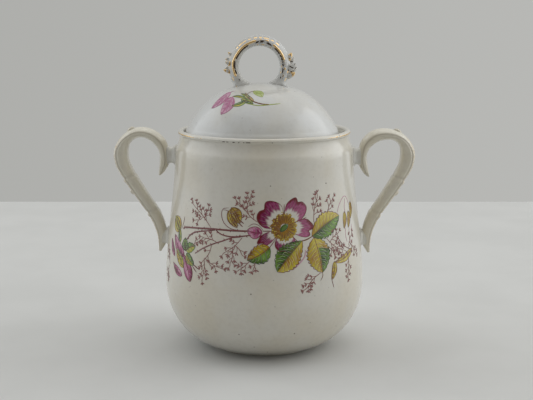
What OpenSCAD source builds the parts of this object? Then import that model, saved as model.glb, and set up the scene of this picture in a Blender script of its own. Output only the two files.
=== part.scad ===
// Covered sugar bowl: a barrel-shaped bowl with two scroll handles, and a domed
// lid with a ring knob. Origin at the middle of the foot, +Z up, handles along X.

/* [Bowl] */
// Height of the rim above the table
rim_z = 118; // [112:1:124]
// Outside radius of the rolled lip
rim_r = 46.3; // [45:0.1:48]
// Greatest outside radius of the belly
belly_r = 53.9; // [52:0.1:56]
// Height at which the belly is widest
belly_z = 36; // [30:1:42]
// Outside radius of the foot ring
foot_r = 29.6; // [27:0.1:32]
// Height of the foot ring
foot_h = 2.2; // [1.5:0.1:3]
// Thickness of the bowl's wall
wall = 3.3; // [2.5:0.1:4]
// Thickness of the bowl's floor
floor_t = 4; // [3:0.5:6]

/* [Lid] */
// Radius of the lid's outer edge
lid_r = 41.2; // [40.8:0.1:41.6]
// Height of the dome's crown above the table
crown_z = 142.8; // [138:0.1:148]
// Thickness of the dome
lid_t = 3.2; // [2.5:0.1:4]
// Depth of the seat below the rim
seat_drop = 4.2; // [3:0.1:5]
// Depth of the locating flange below the seat
flange_h = 6; // [4:0.5:8]
// Distance that the loose lid rests off the bowl's axis
lid_shift = 1.2; // [0:0.1:1.3]

/* [Ring knob] */
// Radius of the ring's hole
ring_hole_r = 10.8; // [10.4:0.1:12]
// Thickness of the ring, seen from the front
ring_t = 5.7; // [4.5:0.1:6.5]
// Thickness of the ring, front to back
ring_d = 7.6; // [6:0.1:9]
// Distance of the ring off the lid's axis
ring_shift = 1.4; // [0:0.1:2]

/* [Handles] */
// Thickness of the strap front to back, at its widest
strap_w = 12; // [10:0.5:14]
// Distance that the right handle sits lower than the left one
right_drop = 0.8; // [0:0.1:1.5]
// Width of the short stubs that hold the straps, front to back
stub_w = 8; // [6:0.5:9]

/* [Hidden] */
$fn = 96;
body_glaze = [0.90, 0.89, 0.85];
handle_glaze = [0.84, 0.81, 0.74];
lid_glaze = [0.90, 0.92, 0.92];
gilt = [0.72, 0.56, 0.28];

// Radii of the gallery that holds the lid
gallery_r = 43.2;
ledge_r = 38.6;
seat_z = rim_z - seat_drop;
// Radius of the lid's flange, clear of the ledge with the lid off centre
flange_r = 37;
// Thickness of the flange
flange_t = 2.8;
// Middle of the curve that rounds the bowl's underside
turn_r = 22.6;
// Height of the ring's centre
ring_z = crown_z + 8.6;
// Distance from the ring's centre down to the flat ends of its feet, inside the crown
ring_sink = 10.6;
ring_r = ring_hole_r + ring_t / 2;
ring_x = -lid_shift - ring_shift;
// Distance from the ring's centre that the leaves' reaches are measured from
leaf_r = 13.9;
// Radii of a leaf's root and tip
leaf_root_r = 2.2;
leaf_tip_r = 1.1;
// Middle height, height and outer end of each stub
upper_stub = [103.9, 9.6, 52];
lower_stub = [59.5, 8.4, 54.9];
// How much a stub flares beyond its waist
stub_flare = 1.1;

// Points of a cubic curve from a to d with handles b and c, leaving out its last point
function curve(a, b, c, d, n) = [for (i = [0 : n - 1]) let (t = i / n, s = 1 - t)
    s * s * s * a + 3 * s * s * t * b + 3 * s * t * t * c + t * t * t * d];

// Points of the quarter oval that turns the underside, from the foot up to the belly
function underside(inset, floor_z, n) = [for (i = [0 : n]) let (t = 68 * (1 - i / n))
    [turn_r + (belly_r - inset - turn_r) * cos(t),
     belly_z - (belly_z - floor_z) * sin(t)]];

// Side of the bowl from the belly up to the shoulder
function side(inset) = curve([belly_r - inset, belly_z], [belly_r - inset, belly_z + 20],
    [rim_r + 2.6 - inset, rim_z - 36], [rim_r + 1.9 - inset, rim_z - 18], 12);

bowl_outside = concat(
    [[0, 3.2], [foot_r - 5.4, 2.2], [foot_r - 4.4, 0.5], [foot_r - 3.6, 0], [foot_r - 0.8, 0],
     [foot_r - 0.1, 0.6], [foot_r, foot_h - 0.4], [foot_r + 0.5, foot_h]],
    underside(0, 0, 16),
    side(0),
    curve([rim_r + 1.9, rim_z - 18], [rim_r + 1.6, rim_z - 12], [rim_r + 1.7, rim_z - 10.4],
        [rim_r + 0.9, rim_z - 8.8], 5),
    curve([rim_r + 0.9, rim_z - 8.8], [rim_r, rim_z - 7], [rim_r - 0.9, rim_z - 5.4],
        [rim_r - 0.8, rim_z - 2.6], 6),
    curve([rim_r - 0.8, rim_z - 2.6], [rim_r + 0.3, rim_z - 2.2], [rim_r + 0.1, rim_z],
        [(rim_r + gallery_r) / 2, rim_z], 6));

bowl_inside = concat(
    [[0, floor_t + 2]],
    underside(wall, floor_t + 2, 14),
    side(wall),
    [[rim_r + 1.9 - wall, rim_z - 18], [rim_r + 0.6 - wall, rim_z - 12.6],
     [ledge_r + 0.6, seat_z - 2.6], [ledge_r, seat_z - 1.8], [ledge_r, seat_z - 0.4],
     [ledge_r + 0.4, seat_z], [gallery_r, seat_z]],
    curve([gallery_r, rim_z - 1.4], [gallery_r, rim_z - 0.4], [gallery_r + 0.6, rim_z],
        [(rim_r + gallery_r) / 2, rim_z], 4));

function backwards(list) = [for (i = [len(list) - 1 : -1 : 0]) list[i]];

module bowl() {
    color(body_glaze)
        rotate_extrude()
            polygon(concat(bowl_outside, [[(rim_r + gallery_r) / 2, rim_z]], backwards(bowl_inside)));
}

// Solid space that the bowl takes up, for trimming what is stuck onto it
module bowl_block() {
    rotate_extrude()
        polygon(concat(bowl_outside, [[0, rim_z]]));
}

lid_outside = concat(
    curve([0, crown_z], [22, crown_z], [34, crown_z - 11.8], [39.7, seat_z + 5.7], 18),
    [[39.7, seat_z + 5.7], [40.3, seat_z + 4.9]],
    curve([40.8, seat_z + 3.9], [lid_r + 0.1, seat_z + 2.6], [lid_r, seat_z + 1.2],
        [lid_r, seat_z + 0.6], 4),
    [[lid_r, seat_z + 0.6], [lid_r - 0.6, seat_z]]);

lid_inside = concat(
    [[flange_r, seat_z], [flange_r, seat_z - flange_h + 1],
     [flange_r - 0.8, seat_z - flange_h], [flange_r - flange_t + 0.8, seat_z - flange_h],
     [flange_r - flange_t, seat_z - flange_h + 1]],
    backwards(curve([0, crown_z - lid_t], [20, crown_z - lid_t], [31, crown_z - 14],
        [flange_r - flange_t, seat_z + 2], 12)),
    [[0, crown_z - lid_t]]);

module lid() {
    color(lid_glaze)
        translate([-lid_shift, 0, 0])
            rotate_extrude()
                polygon(concat(lid_outside, lid_inside));
}

// Upright ring whose two feet are sunk a little way into the crown of the lid
module ring_knob() {
    color(gilt)
        translate([ring_x, 0, ring_z])
            difference() {
                rotate([90, 0, 0])
                    rotate_extrude()
                        polygon([for (a = [0 : 15 : 345])
                            [ring_r + ring_t / 2 * cos(a), ring_d / 2 * sin(a)]]);
                translate([-ring_r, -ring_d, -2 * ring_r - ring_sink])
                    cube([2 * ring_r, 2 * ring_d, 2 * ring_r]);
            }
}

// A ball beside the ring, at an angle round it and a reach out from leaf_r
module leaf_ball(angle, reach, size) {
    translate([(leaf_r + reach) * cos(angle), 0, (leaf_r + reach) * sin(angle)])
        sphere(r = size, $fn = 20);
}

// Cluster of leaves that stand out from the ring, each leaning by lean degrees
module leaf_sprig(angles, reach, lean) {
    color(gilt)
        translate([ring_x, 0, ring_z])
            for (a = angles)
                hull() {
                    leaf_ball(a, 0.9, leaf_root_r);
                    leaf_ball(a + lean, reach, leaf_tip_r);
                }
}

module left_leaf_sprig() {
    leaf_sprig([158, 167, 176, 185], 2.9, -4);
}

module right_leaf_sprig() {
    leaf_sprig([20, 9, -2, -13], 4.8, 5);
}

// Course of a strap from its upper curl to its lower tip: distance from the bowl's
// axis, height, thickness and width as a part of strap_w. The two curls were pulled by
// hand and differ; below them the straps are alike.
left_curl = [
    [56.5, 93, 0.9, 0.2], [55.2, 96.2, 3.8, 0.5], [53.9, 100.4, 5.4, 0.75], [54.1, 105.2, 5.2, 0.85],
    [55.7, 110.1, 6.3, 0.9], [59.9, 114.2, 6.2, 0.95], [65, 116.1, 5.8, 1], [70.2, 115.4, 5.6, 1],
    [74.8, 111.7, 6.2, 1], [77.2, 106, 7.8, 1]];
right_curl = [
    [56.4, 93, 0.9, 0.2], [54.8, 96, 3.4, 0.5], [53.4, 100.2, 4.8, 0.75], [53.3, 105.2, 4.6, 0.85],
    [54.8, 110.3, 6.3, 0.9], [59, 114.4, 7, 0.95], [64.5, 115.9, 6.4, 1], [70.3, 115.2, 5.6, 1],
    [75.1, 111.8, 6.1, 1], [77.3, 106, 7.75, 1]];
strap_rest = [
    [76.6, 99.8, 7.6, 1], [73.9, 94.2, 7, 1], [70.2, 88, 6.9, 0.98], [64.9, 79.9, 6.5, 0.92],
    [60.1, 72.7, 6.3, 0.86], [57.2, 66.4, 5.9, 0.8], [56, 60.6, 4.7, 0.7], [56.1, 56, 3.5, 0.55],
    [57, 51.2, 0.9, 0.2]];
course_steps = 3;

function smooth(p, q, r, s, t) = 0.5 * ((2 * q) + (r - p) * t + (2 * p - 5 * q + 4 * r - s) * t * t
    + (3 * q - p - 3 * r + s) * t * t * t);
function at(list, i) = list[max(0, min(len(list) - 1, i))];
function course_path(course) = [for (i = [0 : len(course) - 2], k = [0 : course_steps - 1])
    smooth(at(course, i - 1), at(course, i), at(course, i + 1), at(course, i + 2), k / course_steps),
    course[len(course) - 1]];

// Outline of the strap's section: across the strap outwards, then front to back,
// with a ridge along the front and back a little outside the middle
strap_section = [[1, 0], [0.86, 0.45], [0.5, 0.83], [0.2, 1], [-0.3, 0.84], [-0.8, 0.5],
    [-1, 0], [-0.8, -0.5], [-0.3, -0.84], [0.2, -1], [0.5, -0.83], [0.86, -0.45]];
sides = len(strap_section);

function unit(v) = v / norm(v);
function strap_ring(path, i) = let (p = path[i], ahead = at(path, i + 1), behind = at(path, i - 1),
    d = unit([ahead[0] - behind[0], ahead[1] - behind[1]]))
    [for (s = strap_section)
        [p[0] - d[1] * s[0] * p[2] / 2, s[1] * p[3] * strap_w / 2, p[1] + d[0] * s[0] * p[2] / 2]];

module strap(curl) {
    path = course_path(concat(curl, strap_rest));
    rings = len(path);
    polyhedron(
        points = [for (i = [0 : rings - 1]) each strap_ring(path, i)],
        faces = concat(
            [[for (k = [0 : sides - 1]) k]],
            [for (i = [0 : rings - 2], k = [0 : sides - 1])
                [i * sides + k, (i + 1) * sides + k, (i + 1) * sides + (k + 1) % sides,
                 i * sides + (k + 1) % sides]],
            [[for (k = [sides - 1 : -1 : 0]) (rings - 1) * sides + k]]),
        convexity = 6);
}

// Short waisted stub between the bowl and a strap, from inside the wall to the strap's back
module stub(z, h, reach) {
    inner_x = 44;
    low = z - h / 2;
    high = z + h / 2;
    color(body_glaze)
        difference() {
            rotate([90, 0, 0])
                linear_extrude(stub_w, center = true)
                    polygon(concat(
                        curve([inner_x, low - stub_flare], [reach - 4, low - stub_flare],
                            [reach - 3, low + stub_flare], [reach, low - stub_flare / 2], 8),
                        [[reach, low - stub_flare / 2]],
                        curve([reach, high + stub_flare / 2], [reach - 3, high - stub_flare],
                            [reach - 4, high + stub_flare], [inner_x, high + stub_flare], 8),
                        [[inner_x, high + stub_flare]]));
            bowl_block();
        }
}

module left_handle() {
    color(handle_glaze) mirror([1, 0, 0]) strap(left_curl);
}

module right_handle() {
    color(handle_glaze) translate([0, 0, -right_drop]) strap(right_curl);
}

module left_upper_stub() {
    mirror([1, 0, 0]) stub(upper_stub[0], upper_stub[1], upper_stub[2]);
}

module left_lower_stub() {
    mirror([1, 0, 0]) stub(lower_stub[0], lower_stub[1], lower_stub[2]);
}

module right_upper_stub() {
    stub(upper_stub[0] - right_drop, upper_stub[1], upper_stub[2]);
}

module right_lower_stub() {
    stub(lower_stub[0] - right_drop, lower_stub[1], lower_stub[2]);
}

bowl();
left_handle();
right_handle();
left_upper_stub();
left_lower_stub();
right_upper_stub();
right_lower_stub();
lid();
ring_knob();
left_leaf_sprig();
right_leaf_sprig();
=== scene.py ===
"""Looks of the covered sugar bowl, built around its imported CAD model."""
import math
import random

import bpy
import numpy as np
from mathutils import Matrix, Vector


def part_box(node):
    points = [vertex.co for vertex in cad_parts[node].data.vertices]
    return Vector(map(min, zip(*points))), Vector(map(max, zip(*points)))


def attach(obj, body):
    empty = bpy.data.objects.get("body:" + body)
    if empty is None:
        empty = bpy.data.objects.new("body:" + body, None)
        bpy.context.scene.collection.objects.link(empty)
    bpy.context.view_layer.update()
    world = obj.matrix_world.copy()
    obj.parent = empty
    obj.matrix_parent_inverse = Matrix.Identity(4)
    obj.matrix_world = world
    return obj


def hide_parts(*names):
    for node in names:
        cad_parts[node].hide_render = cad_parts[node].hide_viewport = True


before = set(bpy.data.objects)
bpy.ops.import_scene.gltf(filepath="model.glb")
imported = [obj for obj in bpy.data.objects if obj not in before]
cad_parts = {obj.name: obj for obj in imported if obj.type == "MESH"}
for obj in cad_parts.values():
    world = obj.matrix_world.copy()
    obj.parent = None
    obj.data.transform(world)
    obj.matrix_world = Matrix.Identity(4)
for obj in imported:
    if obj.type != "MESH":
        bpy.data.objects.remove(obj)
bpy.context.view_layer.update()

MM = 0.001
BASE = "bowl_with_handles"
COVER = "lid_with_ring"

# ---------------------------------------------------------------- camera

CAMERA_BACK = 0.600
CAMERA_UP = 0.187
CAMERA_DOWN_DEG = 10.2
IMAGE_WIDTH = 533
SENSOR = 36.0
FOCAL_PIXELS = 1120.0
AXIS_OFFSET_PIXELS = 2.2


def make_camera():
    """A short telephoto view from the front, looking slightly down, as in the photograph."""
    data = bpy.data.cameras.new("camera")
    data.sensor_width = SENSOR
    data.lens = FOCAL_PIXELS / IMAGE_WIDTH * SENSOR
    data.shift_x = AXIS_OFFSET_PIXELS / IMAGE_WIDTH
    data.clip_start = 0.01
    camera = bpy.data.objects.new("camera", data)
    camera.location = (0, -CAMERA_BACK, CAMERA_UP)
    camera.rotation_euler = (math.radians(90 - CAMERA_DOWN_DEG), 0, 0)
    bpy.context.scene.collection.objects.link(camera)
    bpy.context.scene.camera = camera


make_camera()

# ---------------------------------------------------------------- small helpers


def curve(a, b, c, d, n):
    """n points of a cubic curve from a to d with handles b and c, leaving out d."""
    a, b, c, d = (np.array(p, float) for p in (a, b, c, d))
    t = (np.arange(n) / n)[:, None]
    s = 1 - t
    return list(s**3 * a + 3 * s * s * t * b + 3 * s * t * t * c + t**3 * d)


def spline(points, steps):
    """A smooth line through the points, with that many steps from one to the next."""
    p = [np.array(q, float) for q in points]
    p = [2 * p[0] - p[1]] + p + [2 * p[-1] - p[-2]]
    line = []
    for q0, q1, q2, q3 in zip(p, p[1:], p[2:], p[3:]):
        for k in range(steps):
            t = k / steps
            line.append(0.5 * (2 * q1 + (q2 - q0) * t + (2 * q0 - 5 * q1 + 4 * q2 - q3) * t**2
                               + (3 * q1 - q0 - 3 * q2 + q3) * t**3))
    line.append(p[-2])
    return np.array(line)


def bell(x, centre, width):
    return math.exp(-((x - centre) / width) ** 2)


def round_off(points):
    """Cuts the corners of an open line once, keeping its two ends."""
    p = np.array(points, float)
    low, high = 0.75 * p[:-1] + 0.25 * p[1:], 0.25 * p[:-1] + 0.75 * p[1:]
    return np.vstack([p[:1], np.stack([low, high], 1).reshape(-1, p.shape[1]), p[-1:]])


def lengths_along(line):
    """How far along an open line each of its points is."""
    return np.concatenate([[0], np.cumsum(np.hypot(*np.diff(line, axis=0).T))])


def ease(x, low, high):
    """0 below low, 1 above high, and a smooth rise between them."""
    t = min(1.0, max(0.0, (x - low) / (high - low)))
    return t * t * (3 - 2 * t)


def signed_power(x, power):
    """x to a power below 1, keeping its sign, which squares off a circle."""
    return math.copysign(abs(x) ** power, x)


def tube_sides(start, rows, count, flip=False):
    """Faces between successive closed rows of count points, which begin at vertex start."""
    faces = []
    for i in range(rows - 1):
        for k in range(count):
            n = (k + 1) % count
            a, b = start + i * count, start + (i + 1) * count
            faces.append([a + n, a + k, b + k, b + n] if flip else [a + k, a + n, b + n, b + k])
    return faces


def closed_tube(start, rows, count, flip=False):
    """The same with a flat face over each end."""
    first = list(range(start, start + count))
    last = [k + (rows - 1) * count for k in first]
    ends = [first, last[::-1]] if flip else [first[::-1], last]
    return tube_sides(start, rows, count, flip) + ends


def add_object(name, verts, faces, material):
    """A smooth-shaded mesh object from points in millimetres."""
    mesh = bpy.data.meshes.new(name)
    mesh.from_pydata([tuple(np.array(v) * MM) for v in verts], [], faces)
    mesh.validate()
    mesh.update()
    mesh.polygons.foreach_set("use_smooth", [True] * len(mesh.polygons))
    obj = bpy.data.objects.new(name, mesh)
    bpy.context.scene.collection.objects.link(obj)
    mesh.materials.append(material)
    return obj


def paint(obj, name, values):
    """Stores one colour with alpha for each vertex."""
    data = obj.data.attributes.new(name, "FLOAT_COLOR", "POINT")
    data.data.foreach_set("color", np.array(values, np.float32).ravel())


def place(obj, body, slot, *nodes):
    """Rides on a body and may stand for CAD nodes; slot is not used."""
    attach(obj, body)
    if nodes:
        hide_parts(*nodes)
    return obj


# ---------------------------------------------------------------- materials

BODY_WHITE = (0.660, 0.640, 0.580)
# the lid's white is darker than the body's as painted shade, against the stronger light the dome gets from
# above
SHADED_LID_WHITE = (0.600, 0.607, 0.598)
HANDLE_WHITE = (0.700, 0.670, 0.575)
STUB_WHITE = (0.80, 0.81, 0.795)
GOLD = (0.80, 0.56, 0.27)
# dark spots in the gold: random, and more along the painted shade
DARK_GOLD_SPOTS_AND_SHADE = (0.055, 0.030, 0.015)
# the dark of painted shade and reflection on the gilt, and of the strokes on the knob's leaves
SHADE_AND_STROKE_DARK = (0.050, 0.030, 0.018)
WORN_TAN = (0.50, 0.37, 0.20)
# painted shade for the handles' grooves, knuckle dents, thorn bases and stub joints
CREASE_SHADE = (0.20, 0.16, 0.10)
MOTTLE = (0.36, 0.33, 0.27)
SPECK = (0.10, 0.075, 0.05)
SPECK_SHARE = 0.45
SPECKS = ((7.5, 0.034, 0.80), (4.0, 0.040, 0.45), (2.4, 0.036, 0.22))  # spacing in mm, radius, strength
WARMER = (0.97, 0.94, 0.88)
SLOW_WAVE_MM = 0.14
PEEL_MM = 0.0077
GLAZE_ROUGHNESS = 0.20
GILT_ROUGHNESS = 0.24
GILT_GRAIN_MM = 0.04
CLOTH_LIGHT = (0.600, 0.602, 0.588)
CLOTH_DARK = (0.570, 0.572, 0.558)


class Nodes:
    """A short way to write the nodes of a material or of the world."""

    def __init__(self, owner, shader="Principled BSDF", coords="Object"):
        owner.use_nodes = True
        self.owner = owner
        self.tree = owner.node_tree
        self.shader = self.tree.nodes[shader]
        self.coords = self.tree.nodes.new("ShaderNodeTexCoord").outputs[coords]

    def fill(self, node, inputs):
        """Links each named input of a node, or sets it to a number or a colour."""
        for key, x in inputs.items():
            if isinstance(x, bpy.types.NodeSocket):
                self.tree.links.new(x, node.inputs[key])
            else:
                node.inputs[key].default_value = (*x, 1.0) if isinstance(x, tuple) else x

    def shade(self, inputs):
        self.fill(self.shader, inputs)

    def node(self, kind, inputs, **settings):
        """The outputs of a new node."""
        n = self.tree.nodes.new("ShaderNode" + kind)
        for key, x in settings.items():
            setattr(n, key, x)
        self.fill(n, inputs)
        return n.outputs

    def noise(self, size_mm, detail=3.0, roughness=0.5):
        """Smooth noise from 0 to 1 whose lumps are about size_mm across."""
        return self.node("TexNoise", {"Scale": 1 / (size_mm * MM), "Detail": detail, "Roughness": roughness,
                                      "Vector": self.coords})["Fac"]

    def cells(self, size_mm):
        """Distance to the nearest of scattered points, in cells, and that cell's random colour."""
        outputs = self.node("TexVoronoi", {"Scale": 1 / (size_mm * MM), "Vector": self.coords})
        return outputs["Distance"], outputs["Color"]

    def ramp(self, fac, low, high, start=0.0, end=1.0):
        """Maps low..high of fac to start..end, clamped, with soft ends."""
        inputs = {"Value": fac, "From Min": low, "From Max": high, "To Min": start, "To Max": end}
        return self.node("MapRange", inputs, interpolation_type="SMOOTHSTEP")["Result"]

    def math(self, kind, a, b=0.0):
        return self.node("Math", {0: a, 1: b}, operation=kind)[0]

    def mix(self, fac, a, b, blend="MIX"):
        """Mixes two colours, or adds them when blend is ADD."""
        return self.node("Mix", {0: fac, 6: a, 7: b}, data_type="RGBA", blend_type=blend)[2]

    def attribute(self, name):
        """A vertex colour of the mesh and its alpha."""
        outputs = self.node("Attribute", {}, attribute_name=name)
        return outputs["Color"], outputs["Alpha"]

    def bump(self, height, depth_mm, under=None):
        inputs = {"Strength": 1.0, "Distance": depth_mm * MM, "Height": height}
        if under is not None:
            inputs["Normal"] = under
        return self.node("Bump", inputs)["Normal"]

    def separate(self, vector):
        return self.node("SeparateXYZ", {0: vector})


def glaze_colour(m, white):
    """The glaze: slightly cloudy white with sparse pinholes and iron specks."""
    warm = tuple(c * k for c, k in zip(white, WARMER))
    cloud = m.mix(m.ramp(m.noise(26, 3), 0.35, 0.7), white, warm)
    colour = m.mix(m.ramp(m.noise(2.2, 4), 0.42, 0.75, 0, 0.10), cloud, MOTTLE)
    for spacing, radius, strength in SPECKS:
        distance, random_colour = m.cells(spacing)
        spot = m.ramp(distance, radius, radius * 2.2, 1, 0)
        kept = m.math("LESS_THAN", m.separate(random_colour)[0], SPECK_SHARE)
        fac = m.math("MULTIPLY", m.math("MULTIPLY", spot, kept), strength)
        colour = m.mix(fac, colour, SPECK)
    return colour


def finish_glaze(m):
    """Gloss of a fired glaze: sharp, with slow waves and a faint orange-peel."""
    slow = m.bump(m.noise(17, 1), SLOW_WAVE_MM)
    m.shade({"Roughness": GLAZE_ROUGHNESS, "IOR": 1.5, "Coat Weight": 0.30, "Coat Roughness": 0.07,
             "Normal": m.bump(m.noise(2.6, 2), PEEL_MM, slow)})


def glaze(name, white):
    m = Nodes(bpy.data.materials.new(name))
    m.shade({"Base Color": glaze_colour(m, white)})
    finish_glaze(m)
    return m.owner


def printed_glaze(name, white):
    """The same glaze with the enamel tint that the mesh carries over it."""
    m = Nodes(bpy.data.materials.new(name))
    tint, alpha = m.attribute("tint")
    uneven = m.ramp(m.noise(0.9, 3), 0.25, 0.7, 0.97, 1.0)
    cover = m.math("MULTIPLY", alpha, uneven)
    m.shade({"Base Color": m.mix(cover, glaze_colour(m, white), tint)})
    finish_glaze(m)
    return m.owner


def handle_glaze(name, white):
    """The handles' glaze, with painted shade in the creases and a worn tan line, both where the mesh's edge
    paint says so.
    """
    m = Nodes(bpy.data.materials.new(name))
    tint, _ = m.attribute("edge")
    edge = m.separate(tint)
    worn = m.ramp(m.noise(1.7, 4, 0.65), 0.38, 0.62)
    gilt_line = m.math("MULTIPLY", m.math("MULTIPLY", edge[0], worn), 0.75)
    # the edge paint's second channel is painted shade
    crease_shade = m.math("MULTIPLY", edge[1], 0.45)
    colour = m.mix(gilt_line, glaze_colour(m, white), WORN_TAN)
    m.shade({"Base Color": m.mix(crease_shade, colour, CREASE_SHADE)})
    finish_glaze(m)
    return m.owner


def worn_and_shaded_gilt(name, white):
    """Gilding over white glaze: gold where the mesh says gilt and rubbed to white, with random dark spots;
    the mesh's second channel darkens it with painted shade and reflection and with the knob leaves' strokes.
    """
    m = Nodes(bpy.data.materials.new(name))
    tint, _ = m.attribute("gilt")
    # notch, the second channel, carries painted shade and reflection and the knob leaves' strokes
    cover, notch, _ = m.separate(tint)
    wear = m.noise(1.3, 5, 0.7)
    loss = m.math("MULTIPLY", m.math("SUBTRACT", wear, 0.5), 1.3)
    gilt = m.ramp(m.math("ADD", cover, loss), 0.42, 0.62)
    spots = m.math("ADD", m.noise(0.75, 4, 0.7), m.math("MULTIPLY", notch, 0.35))
    dark = m.ramp(spots, 0.61, 0.73, 0, 0.9)
    gold = m.mix(dark, GOLD, DARK_GOLD_SPOTS_AND_SHADE)
    shade_and_stroke_cover = m.ramp(m.math("ADD", notch, m.math("MULTIPLY", wear, 0.3)), 0.70, 0.95)
    worn = m.mix(gilt, glaze_colour(m, white), gold)
    m.shade({"Base Color": m.mix(shade_and_stroke_cover, worn, SHADE_AND_STROKE_DARK),
             "Metallic": m.math("MULTIPLY", gilt, m.ramp(dark, 0.0, 0.8, 0.92, 0.25)),
             "Roughness": GILT_ROUGHNESS, "Normal": m.bump(m.noise(1.6, 2), GILT_GRAIN_MM)})
    return m.owner


def plain_floor(name):
    """A matt cloth with soft, wide clouds and a fine weave-like grain."""
    m = Nodes(bpy.data.materials.new(name))
    m.shade({"Base Color": m.mix(m.ramp(m.noise(60, 4), 0.3, 0.7), CLOTH_LIGHT, CLOTH_DARK),
             "Roughness": 0.85, "Normal": m.bump(m.noise(0.5, 2), 0.02)})
    return m.owner


BODY_GLAZE = glaze("body_glaze", BODY_WHITE)
LID_GLAZE = glaze("lid_glaze", SHADED_LID_WHITE)
HANDLE_GLAZE = handle_glaze("handle_glaze", HANDLE_WHITE)
BODY_PRINT = printed_glaze("body_print", BODY_WHITE)
LID_PRINT = printed_glaze("lid_print", SHADED_LID_WHITE)
GILT = worn_and_shaded_gilt("worn_and_shaded_gilt", SHADED_LID_WHITE)

# ---------------------------------------------------------------- turned shapes, in millimetres

RIM_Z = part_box("bowl")[1].z / MM
BELLY_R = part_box("bowl")[1].x / MM
RIM_R = 46.3
NECK_R = RIM_R + 1.9
NECK_Z = RIM_Z - 18
BELLY_Z = 36.0
TURN_R = 22.6
UNDERSIDE_SWEEP = 68
FOOT_R = 29.6
FOOT_H = 2.2
WALL = 3.3
FLOOR_Z = 6.0
GALLERY_R = 43.2
LEDGE_R = 38.6
SEAT_Z = RIM_Z - 4.2
LIP_TOP = ((RIM_R + GALLERY_R) / 2, RIM_Z)

LID_X = (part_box("lid")[0].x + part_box("lid")[1].x) / 2 / MM
CROWN_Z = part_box("lid")[1].z / MM
LID_R = 41.2
LID_T = 3.2
FLANGE_R = 37.0
FLANGE_T = 2.8
FLANGE_Z = SEAT_Z - 6.0
CLOSEST_POINTS = 0.02
BOWL_TURNS = 192
LID_TURNS = 160


def underside(inset, floor_z, n):
    """The quarter oval that turns the bowl's underside, from the foot up to the belly."""
    t = np.radians(UNDERSIDE_SWEEP * (1 - np.arange(n + 1) / n))
    r = TURN_R + (BELLY_R - inset - TURN_R) * np.cos(t)
    return list(np.stack([r, BELLY_Z - (BELLY_Z - floor_z) * np.sin(t)], 1))


def side(inset):
    """The bowl's side from the belly up to the shoulder."""
    return curve((BELLY_R - inset, BELLY_Z), (BELLY_R - inset, BELLY_Z + 20),
                 (RIM_R + 2.6 - inset, RIM_Z - 36), (NECK_R - inset, NECK_Z), 24)


SHOULDER = curve((NECK_R, NECK_Z), (RIM_R + 1.6, RIM_Z - 12), (RIM_R + 1.7, RIM_Z - 10.4),
                 (RIM_R + 0.9, RIM_Z - 8.8), 9)
COVE = curve((RIM_R + 0.9, RIM_Z - 8.8), (RIM_R, RIM_Z - 7), (RIM_R - 0.9, RIM_Z - 5.4),
             (RIM_R - 0.8, RIM_Z - 2.6), 9)
LIP_OUT = curve((RIM_R - 0.8, RIM_Z - 2.6), (RIM_R + 0.3, RIM_Z - 2.2), (RIM_R + 0.1, RIM_Z), LIP_TOP, 12)
LIP_IN = curve((GALLERY_R, RIM_Z - 1.4), (GALLERY_R, RIM_Z - 0.4), (GALLERY_R + 0.6, RIM_Z), LIP_TOP, 8)

BOWL_SKIN = underside(0, 0, 26) + side(0) + SHOULDER + COVE + LIP_OUT + [np.array(LIP_TOP)]
FOOT = [(0, 3.2), (8, 3.1), (FOOT_R - 7, 2.7), (FOOT_R - 5, 2.2), (FOOT_R - 4.4, 0.6), (FOOT_R - 3.6, 0),
        (FOOT_R - 2.2, 0), (FOOT_R - 0.8, 0), (FOOT_R - 0.1, 0.5), (FOOT_R, FOOT_H - 0.5),
        (FOOT_R + 0.4, FOOT_H - 0.1)]
BOWL_HOLLOW = ([(0, FLOOR_Z), (12, FLOOR_Z)] + underside(WALL, FLOOR_Z, 20) + side(WALL)
               + [(NECK_R - WALL, NECK_Z), (RIM_R + 0.6 - WALL, RIM_Z - 12.6),
                  (LEDGE_R + 0.6, SEAT_Z - 2.6), (LEDGE_R, SEAT_Z - 1.8), (LEDGE_R, SEAT_Z - 0.4),
                  (LEDGE_R + 0.5, SEAT_Z), (LEDGE_R + 2.5, SEAT_Z), (GALLERY_R - 0.5, SEAT_Z),
                  (GALLERY_R, SEAT_Z + 0.5)] + LIP_IN)

DOME_END = (39.7, SEAT_Z + 5.7)
DOME = curve((0, CROWN_Z), (22, CROWN_Z), (34, CROWN_Z - 11.8), DOME_END, 40)
LID_EDGE = ([DOME_END, (40.3, SEAT_Z + 4.9)]
            + curve((40.8, SEAT_Z + 3.9), (LID_R + 0.1, SEAT_Z + 2.6), (LID_R, SEAT_Z + 1.2),
                    (LID_R, SEAT_Z + 0.6), 6))
LID_SKIN = DOME + LID_EDGE
LID_UNDER = ([(LID_R - 0.1, SEAT_Z + 0.3), (LID_R - 0.8, SEAT_Z), (FLANGE_R + 1.5, SEAT_Z),
              (FLANGE_R + 0.3, SEAT_Z), (FLANGE_R, SEAT_Z - 0.4), (FLANGE_R, FLANGE_Z + 1),
              (FLANGE_R - 0.8, FLANGE_Z), (FLANGE_R - FLANGE_T + 0.8, FLANGE_Z),
              (FLANGE_R - FLANGE_T, FLANGE_Z + 1)]
             + curve((0, CROWN_Z - LID_T), (20, CROWN_Z - LID_T), (31, CROWN_Z - 14),
                     (FLANGE_R - FLANGE_T, SEAT_Z + 2), 24)[::-1])


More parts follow.
